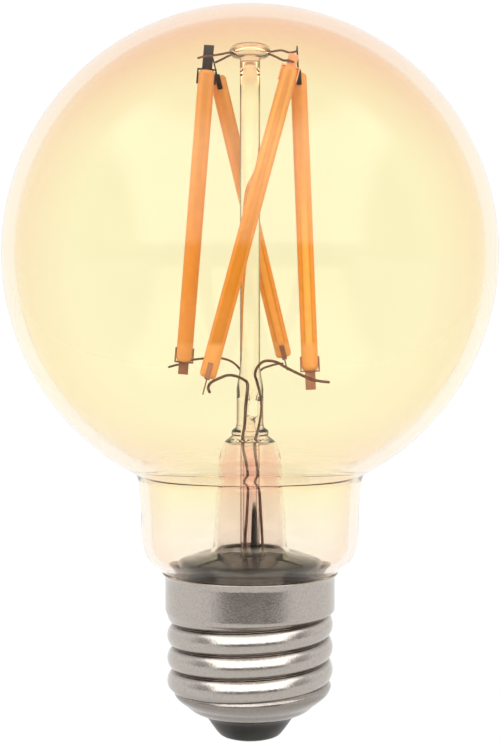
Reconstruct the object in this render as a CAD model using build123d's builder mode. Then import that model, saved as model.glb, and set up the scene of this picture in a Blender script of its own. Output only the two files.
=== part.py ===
from build123d import *
import os
from math import cos, radians, sin, sqrt

# Filament globe lamp with an E27 screw cap. Millimetres, +Z from cap to globe,
# origin at the centre of the contact's bottom face.

# ---- envelope ----
globe_radius = 39.0
globe_centre_z = 76.65
globe_wall, neck_wall, seal_wall = 2.0, 1.5, 0.8

# ---- glass neck, radius at height ----
neck_top_radius = 17.75
neck_waist = (17.25, 32.0)
neck_shoulder = [(16.4, 29.0), (14.3, 26.9), (13.0, 25.85)]
seal_radius = 12.5
seal_top_z = 24.4
seal_bottom_z = 23.2
neck_blend_radius = 1.8

# ---- stem: flare tube, pinch, exhaust, rod ----
flare_wall = 0.7
flare_top = (2.6, 48.5)
flare_curve = [(4.15, 47.1), (4.9, 44.6), (5.1, 42.6), (5.6, 35.4), (5.8, 31.4)]
bell_throat_z, bell_rim_z = 30.0, 28.3
bell_round, bell_drop = 1.1, 0.6
flare_dome_z, flare_dome_side_z = 47.2, 46.6
pinch_foot_z = 48.1
pinch_x, pinch_y = 4.3, 5.0
pinch_low_z, pinch_high_z, pinch_top_z = 50.2, 55.6, 58.6
collar_radius, collar_height = 2.9, 0.9
window_width, window_height = 1.3, 2.9
window_centre_x, window_centre_z = 0.5, 52.45
window_corner = 0.4
exhaust_top_z = 46.9
tip_length, tip_seal = 2.6, 1.0
exhaust_radius, exhaust_wall = 1.55, 0.45
exhaust_tip_z = 13.6
rod_radius = 1.6
rod_top_z = 108.0
button_radius, button_height, button_round = 3.3, 2.2, 0.9

# ---- wires ----
support_wire_radius = 0.16
lead_wire_radius = 0.2
hairpin_x, hairpin_y, hairpin_bend = 1.6, 0.5, 0.3
lead_bend = 0.5
arm_foot_z = 54.0

# ---- filaments ----
coat_radius = 1.3
coat_end_round = 0.6
strip_width, strip_thickness = 1.0, 0.36
chip_size = (0.7, 0.5, 0.14)
chip_pitch = 1.55
tab_thickness, tab_width = 0.2, 1.6
ear_length, ear_depth = 2.2, 0.8
ear_gap = 0.02
weld_sink = 0.04

# ---- E27 cap ----
thread_pitch = 25.4 / 7
thread_root_radius = 12.25
thread_crest_radius = 13.18
thread_foot_z = 7.56
thread_turns = 3.3
seam_angle = 0.9
thread_start_z = 20.0
ridge_width, ridge_sink = 3.5, 0.12
shell_turn_z = 8.0
shell_base = [(11.2, 6.43), (10.3, 5.36), (9.3, 4.53)]
shell_wall = 0.3
base_inset, base_rise = 0.18, 0.24
skirt_radius = 13.5
skirt_low_z, skirt_high_z = 21.5, 25.6
lip_radius, lip_z = 14.05, 26.3
shell_hole_radius = 8.3
shell_bottom_z = 4.1
insulator_side = [(4.5, 0.27), (5.2, 0.85), (6.0, 1.9), (7.0, 3.33)]
insulator_flange_radius = 9.1
flange_low_z, flange_high_z = 5.0, 5.6
insulator_foot_z = 0.2
contact_radius = 3.9
contact_thickness, contact_round = 0.35, 0.15
eyelet_radius, eyelet_bore = 1.1, 0.7
eyelet_top_z = 5.7
solder_height = 1.4
cement_low_z = 22.9

# ---- driver inside the cap ----
sleeve_outer, sleeve_wall = 11.75, 0.6
sleeve_low_z, sleeve_high_z = 8.8, 20.9
board_radius, board_thickness = 10.9, 1.2
board_z = 17.0
board_top_z = board_z + board_thickness
plug_flange_radius, plug_low_z, plug_flange_z = 12.0, 21.6, 22.6
plug_slope = [(10.8, 22.6), (10.8, 26.4), (10.2, 27.1), (8.6, 27.9), (4.6, 28.2)]
plug_hole_gap, board_hole_gap, board_ledge = 0.3, 0.6, 0.5
standoff, pin_radius, hook_wire_radius = 0.4, 0.3, 0.35
capacitor_radius, capacitor_height, capacitor_round = 3.15, 7.2, 0.5
capacitor_spot = (-5.6, 3.4)
capacitor_pin_left, capacitor_pin_right = (-6.85, 3.4), (-4.35, 3.4)
rectifier_spot, rectifier_size = (-5.4, -5.0), (4.7, 3.9, 1.7)
rectifier_pins = [(-7.2, -5.0), (-3.6, -5.0)]
inductor_spot, inductor_radius, inductor_height = (5.6, 3.4), 3.0, 6.4
inductor_flange, inductor_neck = 0.9, 0.6
inductor_pins = [(4.4, 3.4), (6.8, 3.4)]
ic_spot, ic_size = (5.2, -3.6), (4.9, 6.0, 1.75)
ic_leg_height, ic_leg_pitch, ic_leg_width, ic_leg_length = 0.25, 1.27, 0.41, 1.0
package_chamfer = 0.25
module_spot, module_size = (0.0, 6.2), (12.0, 6.0, 0.8)
shield_size, shield_shift, shield_corner, shield_round = (7.2, 4.8, 1.0), 1.9, 0.4, 0.25
fuse_spot, fuse_radius, fuse_length, fuse_low_z = (0.0, -6.6), 1.3, 6.5, 9.2
fuse_round = 0.4
neutral_points = [(-9.3, 0.0, 17.0), (-9.4, 0.0, 12.0), (-9.9, 0.0, 8.0), (-10.2, 0.0, 6.0)]

os.makedirs("parts", exist_ok=True)


def save(builder, name):
    builder.part.label = name
    export_step(builder.part, f"parts/{name}.step")


# ---------------------------------------------------------------- filaments
# Each filament: foot and head of the coating on its axis, roll of the two end tabs
# about that axis (0 faces the front, 90 is edge-on) and the length of each tab.
filaments = {
    1: dict(foot=(-10.66, 3.0, 59.8), head=(-6.78, -1.5, 105.8), rolls=(0, 0), tabs=(2.1, 4.0)),
    2: dict(foot=(5.62, 8.0, 60.4), head=(-5.25, 1.5, 105.4), rolls=(90, 90), tabs=(2.2, 2.9)),
    3: dict(foot=(-6.52, -9.0, 57.7), head=(6.36, -2.5, 106.0), rolls=(90, 0), tabs=(2.6, 2.3)),
    4: dict(foot=(9.38, -4.0, 58.6), head=(7.70, 1.0, 105.7), rolls=(0, 90), tabs=(3.0, 4.5)),
}


def filament_plane(number):
    """Plane at the filament's foot: z along its axis, y away from the front."""
    foot, head = Vector(filaments[number]["foot"]), Vector(filaments[number]["head"])
    axis = (head - foot).normalized()
    side = axis.cross(Vector(0, 1, 0)).normalized() * -1
    return Plane(origin=foot, x_dir=side, z_dir=axis), (head - foot).length


def tab_plane(number, at_head):
    """Plane at one end of a filament: z outward, y across the tab's thickness."""
    base, length = filament_plane(number)
    spec = filaments[number]
    roll = radians(spec["rolls"][at_head])
    side = base.x_dir * cos(roll) + base.y_dir * sin(roll)
    origin = base.origin + base.z_dir * (length if at_head else 0)
    return Plane(origin=origin, x_dir=side, z_dir=base.z_dir * (1 if at_head else -1))


def weld_point(number, at_head, out, side, radius=support_wire_radius):
    """Centre of a wire lying on a tab, `out` beyond the coating, on the `side` face."""
    plane = tab_plane(number, at_head)
    normal = plane.y_dir if plane.y_dir.dot(Vector(*side)) > 0 else plane.y_dir * -1
    return plane.origin + plane.z_dir * out + normal * (tab_thickness / 2 + radius - weld_sink)


front, back, left, right = (0, -1, 0), (0, 1, 0), (-1, 0, 0), (1, 0, 0)

# -------------------------------------------------------------------- wires
# top hairpins: out of one filament tab, round inside the button, on to the next tab
with BuildPart() as top_support_left:
    weld = weld_point(1, 1, 2.1, front)
    with BuildLine() as path:
        FilletPolyline(
            weld + Vector(-1.7, 0, -0.35),
            weld,
            (-hairpin_x, -hairpin_y, 108.95),
            (-hairpin_x, hairpin_y, 108.85),
            weld_point(2, 1, 2.0, right),
            radius=hairpin_bend,
        )
    with BuildSketch(Plane(origin=path.line @ 0, z_dir=path.line % 0)):
        Circle(support_wire_radius)
    sweep()
save(top_support_left, "top_support_left")

with BuildPart() as top_support_right:
    weld = weld_point(3, 1, 0.95, front)
    with BuildLine() as path:
        FilletPolyline(
            weld_point(4, 1, 3.7, left),
            (hairpin_x, hairpin_y, 109.15),
            (hairpin_x, -hairpin_y, 108.95),
            weld + Vector(-1.4, 0.5, 0.75),
            weld,
            weld + Vector(0.7, 0, -0.2),
            radius=hairpin_bend,
        )
    with BuildSketch(Plane(origin=path.line @ 0, z_dir=path.line % 0)):
        Circle(support_wire_radius)
    sweep()
save(top_support_right, "top_support_right")

# main leads: board, flare tube, pinch, then forward to the front filaments
with BuildPart() as lead_wire_left:
    with BuildLine() as path:
        FilletPolyline(
            (-1.9, -3.0, board_top_z),
            (-0.3, -2.25, 41.0),
            (-1.1, -1.95, 46.6),
            (-0.55, -1.3, 53.0),
            (-0.3, -1.25, 56.4),
            (-3.5, -6.6, 58.0),
            (-4.9, -8.7, 57.2),
            weld_point(3, 0, 0.9, right, lead_wire_radius),
            weld_point(3, 0, 2.2, right, lead_wire_radius),
            radius=lead_bend,
        )
    with BuildSketch(Plane(origin=path.line @ 0, z_dir=path.line % 0)):
        Circle(lead_wire_radius)
    sweep()
save(lead_wire_left, "lead_wire_left")

with BuildPart() as lead_wire_right:
    weld = weld_point(4, 0, 1.3, front, lead_wire_radius)
    with BuildLine() as path:
        FilletPolyline(
            (2.6, -3.0, board_top_z),
            (1.35, -2.25, 41.0),
            (0.7, -2.0, 46.6),
            (1.72, -1.3, 53.0),
            (1.03, -1.3, 56.4),
            (1.1, -2.2, 59.3),
            (2.4, -2.7, 60.3),
            (5.2, -3.5, 59.3),
            weld,
            weld + Vector(2.9, -0.1, -0.75),
            radius=lead_bend,
        )
    with BuildSketch(Plane(origin=path.line @ 0, z_dir=path.line % 0)):
        Circle(lead_wire_radius)
    sweep()
save(lead_wire_right, "lead_wire_right")

# back arms: footed in the pinch, carrying the other two filaments
with BuildPart() as lead_arm_left:
    weld = weld_point(1, 0, 0.9, back)
    with BuildLine() as path:
        FilletPolyline(
            (-0.8, 1.3, arm_foot_z),
            (-0.9, 1.3, 57.6),
            (-3.2, 2.0, 60.2),
            (-5.8, 2.6, 60.4),
            weld,
            weld + Vector(-2.6, 0.05, -0.75),
            radius=lead_bend,
        )
    with BuildSketch(Plane(origin=path.line @ 0, z_dir=path.line % 0)):
        Circle(support_wire_radius)
    sweep()
save(lead_arm_left, "lead_arm_left")

with BuildPart() as lead_arm_right:
    with BuildLine() as path:
        FilletPolyline(
            (0.9, 1.3, arm_foot_z),
            (1.0, 1.35, 57.6),
            (3.1, 3.8, 59.2),
            weld_point(2, 0, 1.1, left) + Vector(-0.1, -0.9, 0.05),
            weld_point(2, 0, 1.1, left),
            radius=hairpin_bend,
        )
    with BuildSketch(Plane(origin=path.line @ 0, z_dir=path.line % 0)):
        Circle(support_wire_radius)
    sweep()
save(lead_arm_right, "lead_arm_right")


# --------------------------------------------------------------- filaments
def build_filament(number):
    """Coating, carrier strip and light-emitting chips of one filament."""
    base, length = filament_plane(number)
    chip_count = int((length - 4.0) / chip_pitch)
    first = (length - (chip_count - 1) * chip_pitch) / 2

    with BuildPart() as strip:
        with BuildSketch(base):
            Rectangle(strip_width, strip_thickness)
        extrude(amount=length)
    save(strip, f"filament_{number}_strip")

    with BuildPart() as chips:
        spots = [
            base * Location((0, -(strip_thickness + chip_size[2]) / 2, first + i * chip_pitch))
            for i in range(chip_count)
        ]
        with Locations(*spots):
            Box(chip_size[1], chip_size[2], chip_size[0])
    save(chips, f"filament_{number}_chips")

    with BuildPart() as coating:
        with BuildSketch(base):
            Circle(coat_radius)
        extrude(amount=length)
        fillet(coating.edges().filter_by(GeomType.CIRCLE), coat_end_round)
        add(strip.part, mode=Mode.SUBTRACT)
        add(chips.part, mode=Mode.SUBTRACT)
    save(coating, f"filament_{number}_coating")


def build_tab(number, at_head, wire):
    """Welded end plate of a filament: cross bar, two ears and a tongue."""
    plane = tab_plane(number, at_head)
    reach = filaments[number]["tabs"][at_head]
    ear_x = coat_radius + ear_gap + tab_thickness / 2
    with BuildPart() as tab:
        with BuildSketch(plane):
            Rectangle(2 * ear_x + tab_thickness, ear_depth)
        extrude(amount=tab_thickness)
        with BuildSketch(plane.offset(tab_thickness)):
            Rectangle(tab_width, tab_thickness)
        extrude(amount=reach - tab_thickness)
        with BuildSketch(plane):
            with Locations((-ear_x, 0), (ear_x, 0)):
                Rectangle(tab_thickness, ear_depth)
        extrude(amount=-ear_length)
        add(wire.part, mode=Mode.SUBTRACT)
    save(tab, f"filament_{number}_{'top' if at_head else 'bottom'}_tab")


tab_wires = {
    1: (lead_arm_left, top_support_left),
    2: (lead_arm_right, top_support_left),
    3: (lead_wire_left, top_support_right),
    4: (lead_wire_right, top_support_right),
}
for number in filaments:
    build_filament(number)
    for at_head in (0, 1):
        build_tab(number, at_head, tab_wires[number][at_head])


# -------------------------------------------------------------------- glass
# outer skin, then the hollow: wall eases from the globe to the seal
with BuildPart() as glass_globe:
    for globe_in, neck_in, seal_in, mode in (
        (0, 0, 0, Mode.ADD),
        (globe_wall, neck_wall, seal_wall, Mode.SUBTRACT),
    ):
        radius, blend = globe_radius - globe_in, neck_blend_radius + globe_in
        neck_radius = neck_top_radius - neck_in
        # blend circle: tangent to the sphere outside and to the neck
        drop = sqrt((radius + blend) ** 2 - (neck_radius + blend) ** 2)
        share = radius / (radius + blend)
        crown = (0, globe_centre_z + radius)
        on_sphere = ((neck_radius + blend) * share, globe_centre_z - drop * share)
        on_neck = (neck_radius, globe_centre_z - drop)
        seal = (seal_radius - seal_in, seal_top_z)
        foot_z = seal_bottom_z - seal_in
        with BuildSketch(Plane.XZ):
            with BuildLine():
                ThreePointArc(crown, (radius, globe_centre_z), on_sphere)
                TangentArc(on_neck, on_sphere, tangent=(0, 1))
                Spline(
                    on_neck,
                    (neck_waist[0] - neck_in, neck_waist[1]),
                    *[(r - neck_in * 0.9, z + neck_in / 4) for r, z in neck_shoulder[:-1]],
                    (neck_shoulder[-1][0] - seal_in, neck_shoulder[-1][1] + seal_in / 4),
                    seal,
                    tangents=((0, -1), (0, -1)),
                )
                Polyline(seal, (seal[0], foot_z), (0, foot_z), crown)
            make_face()
        revolve(axis=Axis.Z, mode=mode)
save(glass_globe, "glass_globe")

seal_bore = seal_radius - seal_wall

with BuildPart() as stem_flare:
    with BuildSketch(Plane.XZ):
        with BuildLine():
            Polyline((0, flare_dome_z), (0, flare_top[1]), flare_top)
            Spline(flare_top, *flare_curve, tangents=((0.9, -0.3), (0, -1)))
            FilletPolyline(
                flare_curve[-1],
                (flare_curve[-1][0], bell_throat_z),
                (seal_bore, bell_rim_z),
                (seal_bore, seal_bottom_z),
                radius=bell_round,
            )
            Line((seal_bore, seal_bottom_z), (seal_bore - flare_wall, seal_bottom_z))
            FilletPolyline(
                (seal_bore - flare_wall, seal_bottom_z),
                (seal_bore - flare_wall, bell_rim_z - bell_drop),
                (flare_curve[-1][0] - flare_wall, bell_throat_z - bell_drop),
                (flare_curve[-1][0] - flare_wall, flare_curve[-1][1]),
                radius=bell_round,
            )
            Spline(
                (flare_curve[-1][0] - flare_wall, flare_curve[-1][1]),
                *[(r - flare_wall, z) for r, z in reversed(flare_curve[1:-1])],
                (flare_top[0], flare_dome_side_z),
                (0, flare_dome_z),
                tangents=((0, 1), (-1, 0)),
            )
        make_face()
    revolve(axis=Axis.Z)
    # solid glass pinch, from round collar to flattened press to round rod
    with BuildSketch(Plane.XY.offset(pinch_foot_z)):
        Circle(flare_top[0])
    with BuildSketch(Plane.XY.offset(pinch_low_z)):
        Ellipse(pinch_x / 2, pinch_y / 2)
    with BuildSketch(Plane.XY.offset(pinch_high_z)):
        Ellipse(pinch_x / 2, pinch_y / 2)
    with BuildSketch(Plane.XY.offset(pinch_top_z)):
        Circle(rod_radius)
    loft()
    with BuildSketch(Plane.XY.offset(flare_top[1] - collar_height / 2)):
        Circle(collar_radius)
    extrude(amount=collar_height)
    with BuildSketch(Plane.XZ.offset(-pinch_y)):
        with Locations((window_centre_x, window_centre_z)):
            RectangleRounded(window_width, window_height, window_corner)
    extrude(amount=2 * pinch_y, mode=Mode.SUBTRACT)
    with BuildSketch(Plane.XY.offset(exhaust_top_z)):
        Circle(exhaust_radius - exhaust_wall)
    extrude(amount=window_centre_z - exhaust_top_z, mode=Mode.SUBTRACT)
    for wire in (lead_wire_left, lead_wire_right, lead_arm_left, lead_arm_right):
        add(wire.part, mode=Mode.SUBTRACT)
save(stem_flare, "stem_flare")

with BuildPart() as exhaust_tube:
    with BuildSketch(Plane.XZ):
        with BuildLine():
            bore = exhaust_radius - exhaust_wall
            tip = (0, exhaust_tip_z)
            Polyline((bore, exhaust_top_z), (exhaust_radius, exhaust_top_z),
                     (exhaust_radius, exhaust_tip_z + tip_length))
            Spline((exhaust_radius, exhaust_tip_z + tip_length), tip,
                   tangents=((0, -1), (-1, 0)))
            Line(tip, (0, exhaust_tip_z + tip_seal))
            Spline((0, exhaust_tip_z + tip_seal), (bore, exhaust_tip_z + tip_length),
                   tangents=((1, 0), (0, 1)))
            Line((bore, exhaust_tip_z + tip_length), (bore, exhaust_top_z))
        make_face()
    revolve(axis=Axis.Z)
save(exhaust_tube, "exhaust_tube")

with BuildPart() as centre_rod:
    with BuildSketch(Plane.XY.offset(pinch_top_z)):
        Circle(rod_radius)
    extrude(amount=rod_top_z - pinch_top_z)
save(centre_rod, "centre_rod")

with BuildPart() as rod_button:
    with BuildSketch(Plane.XY.offset(rod_top_z)):
        Circle(button_radius)
    extrude(amount=button_height)
    fillet(rod_button.edges(), button_round)
    for wire in (top_support_left, top_support_right):
        add(wire.part, mode=Mode.SUBTRACT)
save(rod_button, "rod_button")


# ---------------------------------------------------------------- screw cap
def shell_outline(inset):
    """Outer outline of the cap shell below the lip, moved inward by `inset`."""
    return [
        (skirt_radius - inset, skirt_high_z),
        (skirt_radius - inset, skirt_low_z),
        (thread_root_radius - inset, thread_start_z),
        (thread_root_radius - inset, shell_turn_z),
    ]


# the shell's seam is turned away from the start of the thread
seam_plane = Plane(
    origin=(0, 0, 0),
    x_dir=(cos(seam_angle), sin(seam_angle), 0),
    z_dir=(sin(seam_angle), -cos(seam_angle), 0),
)

with BuildPart() as cap_shell:
    with BuildSketch(seam_plane):
        with BuildLine():
            Polyline((lip_radius - shell_wall, lip_z), *shell_outline(shell_wall))
            Spline(
                shell_outline(shell_wall)[-1],
                *[(r - base_inset, z + base_rise) for r, z in shell_base],
                (shell_hole_radius, shell_bottom_z + shell_wall),
            )
            Line((shell_hole_radius, shell_bottom_z + shell_wall),
                 (shell_hole_radius, shell_bottom_z))
            Spline((shell_hole_radius, shell_bottom_z), *reversed(shell_base),
                   shell_outline(0)[-1])
            Polyline(*reversed(shell_outline(0)), (lip_radius, lip_z),
                     (lip_radius - shell_wall, lip_z))
        make_face()
    revolve(axis=Axis.Z)
    # knuckle thread: rounded ridge run along a right-handed helix
    with BuildLine():
        Helix(thread_pitch, thread_turns * thread_pitch, thread_root_radius,
              center=(0, 0, thread_foot_z))
    with BuildSketch(Plane.XZ):
        with BuildLine():
            ThreePointArc(
                (thread_root_radius - ridge_sink, thread_foot_z - ridge_width / 2),
                (thread_crest_radius, thread_foot_z),
                (thread_root_radius - ridge_sink, thread_foot_z + ridge_width / 2),
            )
            Line((thread_root_radius - ridge_sink, thread_foot_z + ridge_width / 2),
                 (thread_root_radius - ridge_sink, thread_foot_z - ridge_width / 2))
        make_face()
    sweep(is_frenet=True)
save(cap_shell, "cap_shell")

with BuildPart() as cap_insulator:
    with BuildSketch(Plane.XZ):
        with BuildLine():
            Spline((contact_radius, insulator_foot_z), *insulator_side,
                   (shell_hole_radius, shell_bottom_z), tangents=((1, 0), (1, 0.35)))
            Polyline(
                (shell_hole_radius, shell_bottom_z),
                (shell_hole_radius, flange_low_z),
                (insulator_flange_radius, flange_low_z),
                (insulator_flange_radius, flange_high_z),
                (eyelet_radius, flange_high_z),
                (eyelet_radius, contact_thickness),
                (contact_radius, contact_thickness),
                (contact_radius, insulator_foot_z),
            )
        make_face()
    revolve(axis=Axis.Z)
save(cap_insulator, "cap_insulator")

with BuildPart() as centre_contact:
    with BuildSketch():
        Circle(contact_radius)
    extrude(amount=contact_thickness)
    fillet(centre_contact.edges().group_by(Axis.Z)[0], contact_round)
    with BuildSketch(Plane.XY.offset(contact_thickness)):
        Circle(eyelet_radius)
    extrude(amount=eyelet_top_z - contact_thickness)
    with BuildSketch():
        Circle(eyelet_bore)
    extrude(amount=eyelet_top_z, mode=Mode.SUBTRACT)
save(centre_contact, "centre_contact")

with BuildPart() as contact_solder:
    with BuildSketch():
        Circle(eyelet_bore)
    extrude(amount=solder_height)
save(contact_solder, "contact_solder")

with BuildPart() as cap_cement:
    with BuildSketch(Plane.XY.offset(cement_low_z)):
        Circle(skirt_radius - shell_wall)
        Circle(seal_radius, mode=Mode.SUBTRACT)
    extrude(amount=seal_top_z - cement_low_z)
save(cap_cement, "cap_cement")


# ---------------------------------------------------------- driver assembly
# domed plug that closes the cap under the glass bell
with BuildPart() as insulating_plug:
    plug_bore = exhaust_radius + plug_hole_gap
    with BuildSketch(Plane.XZ):
        with BuildLine():
            Polyline(
                (plug_bore, plug_low_z),
                (plug_flange_radius, plug_low_z),
                (plug_flange_radius, plug_flange_z),
                *plug_slope,
                (plug_bore, plug_slope[-1][1]),
                (plug_bore, plug_low_z),
            )
        make_face()
    revolve(axis=Axis.Z)
    for wire in (lead_wire_left, lead_wire_right):
        add(wire.part, mode=Mode.SUBTRACT)
save(insulating_plug, "insulating_plug")

with BuildPart() as driver_sleeve:
    with BuildSketch(Plane.XY.offset(sleeve_low_z)):
        Circle(sleeve_outer)
        Circle(board_radius - board_ledge, mode=Mode.SUBTRACT)
    extrude(amount=board_z - sleeve_low_z)
    with BuildSketch(Plane.XY.offset(board_z)):
        Circle(sleeve_outer)
        Circle(sleeve_outer - sleeve_wall, mode=Mode.SUBTRACT)
    extrude(amount=sleeve_high_z - board_z)
save(driver_sleeve, "driver_sleeve")

with BuildPart() as driver_board:
    with BuildSketch(Plane.XY.offset(board_z)):
        Circle(board_radius)
        Circle(exhaust_radius + board_hole_gap, mode=Mode.SUBTRACT)
        with Locations(capacitor_pin_left, capacitor_pin_right, *rectifier_pins, *inductor_pins):
            Circle(pin_radius, mode=Mode.SUBTRACT)
    extrude(amount=board_thickness)
save(driver_board, "driver_board")

with BuildPart() as electrolytic_capacitor:
    with BuildSketch(Plane.XY.offset(board_z - capacitor_height - standoff)):
        with Locations(capacitor_spot):
            Circle(capacitor_radius)
    extrude(amount=capacitor_height)
    fillet(electrolytic_capacitor.edges().filter_by(GeomType.CIRCLE), capacitor_round)
    with BuildSketch(Plane.XY.offset(board_z - standoff)):
        with Locations(capacitor_pin_left, capacitor_pin_right):
            Circle(pin_radius)
    extrude(amount=standoff + board_thickness)
save(electrolytic_capacitor, "electrolytic_capacitor")

with BuildPart() as bridge_rectifier:
    with BuildSketch(Plane.XY.offset(board_z - standoff - rectifier_size[2])):
        with Locations(rectifier_spot):
            Rectangle(rectifier_size[0], rectifier_size[1])
    extrude(amount=rectifier_size[2])
    chamfer(bridge_rectifier.edges().group_by(Axis.Z)[0], package_chamfer)
    with BuildSketch(Plane.XY.offset(board_z - standoff)):
        with Locations(*rectifier_pins):
            Circle(pin_radius)
    extrude(amount=standoff + board_thickness)
save(bridge_rectifier, "bridge_rectifier")

with BuildPart() as inductor:
    for low, height, radius in (
        (0, inductor_flange, inductor_radius),
        (inductor_flange, inductor_height - 2 * inductor_flange, inductor_radius - inductor_neck),
        (inductor_height - inductor_flange, inductor_flange, inductor_radius),
    ):
        with BuildSketch(Plane.XY.offset(board_z - standoff - inductor_height + low)):
            with Locations(inductor_spot):
                Circle(radius)
        extrude(amount=height)
    with BuildSketch(Plane.XY.offset(board_z - standoff)):
        with Locations(*inductor_pins):
            Circle(pin_radius)
    extrude(amount=standoff + board_thickness)
save(inductor, "inductor")

with BuildPart() as driver_ic:
    with BuildSketch(Plane.XY.offset(board_z - ic_size[2])):
        with Locations(ic_spot):
            Rectangle(ic_size[0], ic_size[1])
    extrude(amount=ic_size[2] - ic_leg_height)
    chamfer(driver_ic.edges().group_by(Axis.Z)[0], package_chamfer)
    with BuildSketch(Plane.XY.offset(board_z - ic_leg_height)):
        with Locations(ic_spot):
            with GridLocations(ic_leg_pitch, ic_size[1] - ic_leg_length, 4, 2):
                Rectangle(ic_leg_width, ic_leg_length)
    extrude(amount=ic_leg_height)
save(driver_ic, "driver_ic")

with BuildPart() as wireless_module:
    with BuildSketch(Plane.XY.offset(board_z + board_thickness)):
        with Locations(module_spot):
            Rectangle(module_size[0], module_size[1])
    extrude(amount=module_size[2])
save(wireless_module, "wireless_module")

with BuildPart() as module_shield:
    with BuildSketch(Plane.XY.offset(board_z + board_thickness + module_size[2])):
        with Locations((module_spot[0] - shield_shift, module_spot[1])):
            RectangleRounded(shield_size[0], shield_size[1], shield_corner)
    extrude(amount=shield_size[2])
    fillet(module_shield.edges().group_by(Axis.Z)[-1], shield_round)
save(module_shield, "module_shield")

with BuildPart() as fuse_resistor:
    axis_plane = Plane(origin=(fuse_spot[0], fuse_spot[1], fuse_low_z), z_dir=(0, 0, 1))
    with BuildSketch(axis_plane):
        Circle(fuse_radius)
    extrude(amount=fuse_length)
    fillet(fuse_resistor.edges().filter_by(GeomType.CIRCLE), fuse_round)
    with BuildSketch(axis_plane.offset(fuse_length)):
        Circle(pin_radius)
    extrude(amount=board_z - fuse_low_z - fuse_length)
save(fuse_resistor, "fuse_resistor")

with BuildPart() as live_wire:
    with BuildLine():
        Line((0, 0, solder_height), (0, 0, eyelet_top_z))
        Spline((0, 0, eyelet_top_z), (fuse_spot[0], fuse_spot[1], fuse_low_z),
               tangents=((0, 0, 1), (0, 0, 1)))
    with BuildSketch(Plane.XY.offset(solder_height)):
        Circle(hook_wire_radius)
    sweep()
save(live_wire, "live_wire")

with BuildPart() as neutral_wire:
    with BuildLine() as neutral_path:
        Spline(*neutral_points)
    with BuildSketch(Plane(origin=neutral_path.line @ 0, z_dir=neutral_path.line % 0)):
        Circle(hook_wire_radius)
    sweep()
save(neutral_wire, "neutral_wire")
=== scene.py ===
from math import atan2, cos, pi, radians, sin, sqrt

import bmesh
import bpy
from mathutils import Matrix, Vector


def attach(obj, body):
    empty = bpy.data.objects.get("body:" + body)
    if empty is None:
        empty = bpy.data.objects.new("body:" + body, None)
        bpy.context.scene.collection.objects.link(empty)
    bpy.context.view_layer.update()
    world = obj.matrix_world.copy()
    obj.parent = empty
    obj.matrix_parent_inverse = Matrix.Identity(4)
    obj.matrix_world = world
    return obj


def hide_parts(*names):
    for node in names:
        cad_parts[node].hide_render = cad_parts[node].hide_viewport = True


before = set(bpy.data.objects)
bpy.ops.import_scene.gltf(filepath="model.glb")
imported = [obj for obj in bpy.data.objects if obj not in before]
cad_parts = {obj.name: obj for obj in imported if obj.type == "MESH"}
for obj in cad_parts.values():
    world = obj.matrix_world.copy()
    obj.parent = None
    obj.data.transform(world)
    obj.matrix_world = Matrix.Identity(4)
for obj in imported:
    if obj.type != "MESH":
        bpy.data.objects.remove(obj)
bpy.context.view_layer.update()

# ------------------------------------------------------------------ sizes, mm
MM = 0.001
GLOBE_R, GLOBE_Z = 39.0, 76.65
GLOBE_WALL, NECK_WALL, SEAL_WALL = 2.0, 1.5, 0.8
NECK_R, NECK_BLEND = 17.75, 1.8
WAIST, NECK_MID_Z = (17.25, 32.0), 36.2
SHOULDER = [(16.4, 29.0), (14.3, 26.9), (13.0, 25.85)]
SEAL_R, SEAL_TOP, SEAL_FOOT = 12.5, 24.4, 23.2

PITCH = 25.4 / 7
ROOT_R, CREST_R = 12.2, 13.2
THREAD_FOOT = 7.26
SKIRT_R, SKIRT_LOW, SKIRT_HIGH = 13.5, 20.6, 25.5

ROD_R, ROD_TOP = 1.6, 108.0
BUTTON_R, BUTTON_H = 3.3, 2.2
SUPPORT_R, LEAD_R = 0.18, 0.22
WIRE_SIDES, WIRE_END_SHARE, WIRE_TIP_SHARE = 12, 0.75, 0.4
COAT_R = 1.3
EXHAUST_R = 1.55

scene = bpy.context.scene


# ------------------------------------------------------------------ mesh tools
def new_object(name, mesh):
    obj = bpy.data.objects.new(name, mesh)
    scene.collection.objects.link(obj)
    return obj


def grid_mesh(name, rings, close_start=None, close_end=None, loop=False):
    """Skin over rings of points (mm), each ring closed; poles cap the open ends."""
    bm = bmesh.new()
    rows = [[bm.verts.new(Vector(p) * MM) for p in ring] for ring in rings]
    count = len(rows[0])
    pairs = list(zip(rows, rows[1:])) + ([(rows[-1], rows[0])] if loop else [])
    for low, high in pairs:
        for i in range(count):
            j = (i + 1) % count
            bm.faces.new((low[i], low[j], high[j], high[i]))
    for pole, row, flip in ((close_start, rows[0], True), (close_end, rows[-1], False)):
        if pole is None:
            continue
        tip = bm.verts.new(Vector(pole) * MM)
        for i in range(count):
            j = (i + 1) % count
            bm.faces.new((tip, row[j], row[i]) if flip else (row[i], row[j], tip))
    bmesh.ops.recalc_face_normals(bm, faces=bm.faces)
    mesh = bpy.data.meshes.new(name)
    bm.to_mesh(mesh)
    bm.free()
    for face in mesh.polygons:
        face.use_smooth = True
    return mesh


def turns(count):
    """Angles evenly spaced round one turn, in radians."""
    return [2 * pi * i / count for i in range(count)]


def ellipse(rx, ry, z, segments):
    return [(rx * cos(a), ry * sin(a), z) for a in turns(segments)]


def lathe(name, profile, segments):
    """Closed body of revolution from an (r, z) outline that starts and ends on the axis or loops."""
    start = (0, 0, profile[0][1]) if profile[0][0] == 0 else None
    end = (0, 0, profile[-1][1]) if profile[-1][0] == 0 else None
    rings = [ellipse(r, r, z, segments) for r, z in profile if r > 0]
    return new_object(name, grid_mesh(name, rings, start, end, loop=start is None))


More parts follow.
